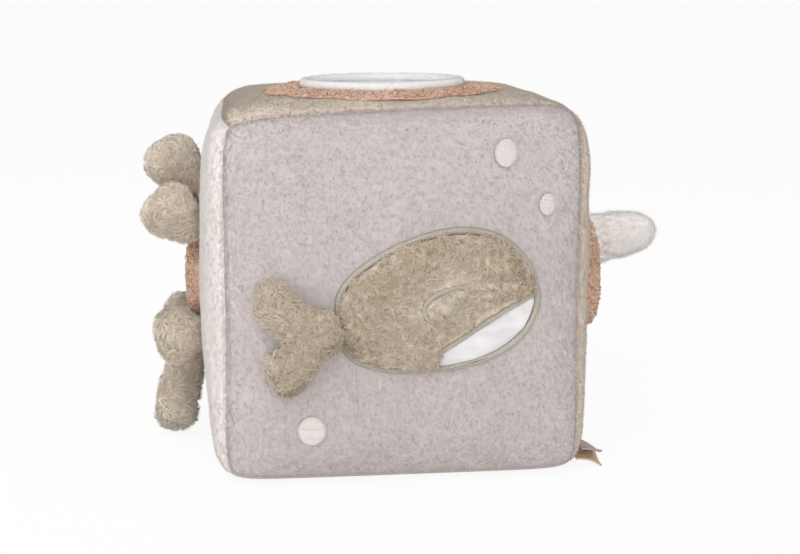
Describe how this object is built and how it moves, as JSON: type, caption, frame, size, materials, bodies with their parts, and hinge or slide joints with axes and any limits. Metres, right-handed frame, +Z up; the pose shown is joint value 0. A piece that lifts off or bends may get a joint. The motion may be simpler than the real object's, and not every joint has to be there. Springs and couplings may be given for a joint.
{
  "type": "soft fabric block",
  "caption": "Plush baby activity cube with a sewn fish, a soft mirror, padded side shapes, stuffed pieces that flap and a rattle inside.",
  "frame": {"origin": "middle of the flat base, on the surface that the block stands on", "axes": "+X to the right seen from the front with the fish, +Y to the back, +Z up"},
  "size_m": [0.2188, 0.1537, 0.1473],
  "materials": {
    "mauve_plush": "matte",
    "cream_plush": "matte",
    "taupe_plush": "matte",
    "taupe_teddy": "matte",
    "peach_boucle": "matte",
    "white_plush": "matte",
    "sage_stitching": "satin",
    "white_satin": "satin",
    "white_stitching": "satin",
    "mirror_film": "polished",
    "mauve_ribbon": "satin",
    "tan_ribbon": "satin",
    "fibre_filling": "matte",
    "capsule_plastic": "gloss",
    "bead_plastic": "gloss"
  },
  "bodies": {
    "block": {"front_panel": "mauve_plush", "back_panel": "cream_plush", "left_panel": "cream_plush", "right_panel": "taupe_plush", "top_panel": "taupe_plush", "bottom_panel": "mauve_plush", "filling_front": "fibre_filling", "filling_back": "fibre_filling", "rattle_capsule_upper": "capsule_plastic", "rattle_capsule_lower": "capsule_plastic", "fish_outline": "sage_stitching", "fish_body": "taupe_teddy", "fish_belly": "white_satin", "fish_belly_seam": "sage_stitching", "bubble_1": "white_stitching", "bubble_2": "white_stitching", "bubble_3": "white_stitching", "fish_eye": "sage_stitching", "fish_fin": "taupe_teddy", "fish_fin_outline": "sage_stitching", "top_pad": "peach_boucle", "mirror_film": "mirror_film", "mirror_rim": "white_plush", "left_pad": "peach_boucle", "right_pad": "peach_boucle"},
    "fish_tail": {"fish_tail_front": "taupe_teddy", "fish_tail_back": "taupe_teddy"},
    "limb_upper_back": {"limb_upper_back_outer": "taupe_teddy", "limb_upper_back_under": "peach_boucle"},
    "limb_upper_front": {"limb_upper_front_outer": "taupe_teddy", "limb_upper_front_under": "peach_boucle"},
    "limb_lower_front": {"limb_lower_front_outer": "taupe_teddy", "limb_lower_front_under": "peach_boucle"},
    "limb_lower_back": {"limb_lower_back_outer": "taupe_teddy", "limb_lower_back_under": "peach_boucle"},
    "limb_hanging": {"limb_hanging_outer": "taupe_teddy", "limb_hanging_under": "peach_boucle"},
    "stuffed_tab": {"tab_front": "white_plush", "tab_back": "white_plush"},
    "mauve_tab": {"ribbon_mauve": "mauve_ribbon"},
    "tan_tab": {"ribbon_tan": "tan_ribbon"},
    "bead_1": {"rattle_bead_1": "bead_plastic"},
    "bead_2": {"rattle_bead_2": "bead_plastic"},
    "bead_3": {"rattle_bead_3": "bead_plastic"}
  },
  "joints": [
    {"name": "fish_tail_flap", "type": "hinge", "parent": "block", "child": "fish_tail", "pos_m": [-0.02657, -0.07539, 0.06131], "axis": [-0.1564, 0, 0.9877], "range_deg": [0, 90], "stiffness_Nm_per_rad": 0.02},
    {"name": "limb_upper_back_flap", "type": "hinge", "parent": "block", "child": "limb_upper_back", "pos_m": [-0.07974, 0.017, 0.10546], "axis": [0, 1, 0], "range_deg": [-80, 12], "stiffness_Nm_per_rad": 0.02},
    {"name": "limb_upper_front_flap", "type": "hinge", "parent": "block", "child": "limb_upper_front", "pos_m": [-0.08022, -0.01723, 0.09197], "axis": [0, 1, 0], "range_deg": [-70, 14], "stiffness_Nm_per_rad": 0.02},
    {"name": "limb_lower_front_flap", "type": "hinge", "parent": "block", "child": "limb_lower_front", "pos_m": [-0.07998, -0.018, 0.04679], "axis": [0, 1, 0], "range_deg": [-30, 30], "stiffness_Nm_per_rad": 0.02},
    {"name": "limb_lower_back_flap", "type": "hinge", "parent": "block", "child": "limb_lower_back", "pos_m": [-0.07939, 0.018, 0.04479], "axis": [0, 1, 0], "range_deg": [-30, 30], "stiffness_Nm_per_rad": 0.02},
    {"name": "limb_hanging_flap", "type": "hinge", "parent": "block", "child": "limb_hanging", "pos_m": [-0.07841, 0, 0.03724], "axis": [0, 1, 0], "range_deg": [-3, 60], "stiffness_Nm_per_rad": 0.02},
    {"name": "stuffed_tab_flap", "type": "hinge", "parent": "block", "child": "stuffed_tab", "pos_m": [0.0777, 0.029, 0.07122], "axis": [0, 0, 1], "range_deg": [-50, 50], "stiffness_Nm_per_rad": 0.02},
    {"name": "mauve_tab_flap", "type": "hinge", "parent": "block", "child": "mauve_tab", "pos_m": [0.06926, -0.0552, 0.00866], "axis": [0, -1, 0], "range_deg": [0, 45], "stiffness_Nm_per_rad": 0.002},
    {"name": "tan_tab_flap", "type": "hinge", "parent": "block", "child": "tan_tab", "pos_m": [0.06741, -0.05386, 0.00476], "axis": [0, -1, 0], "range_deg": [0, 5], "stiffness_Nm_per_rad": 0.002},
    {"name": "bead_1_rattle", "type": "slide", "parent": "block", "child": "bead_1", "axis": [0, 0, 1], "range_m": [0, 0.0205]},
    {"name": "bead_2_rattle", "type": "slide", "parent": "block", "child": "bead_2", "axis": [0, 0, 1], "range_m": [0, 0.0205]},
    {"name": "bead_3_rattle", "type": "slide", "parent": "block", "child": "bead_3", "axis": [0, 0, 1], "range_m": [0, 0.0205]}
  ]
}
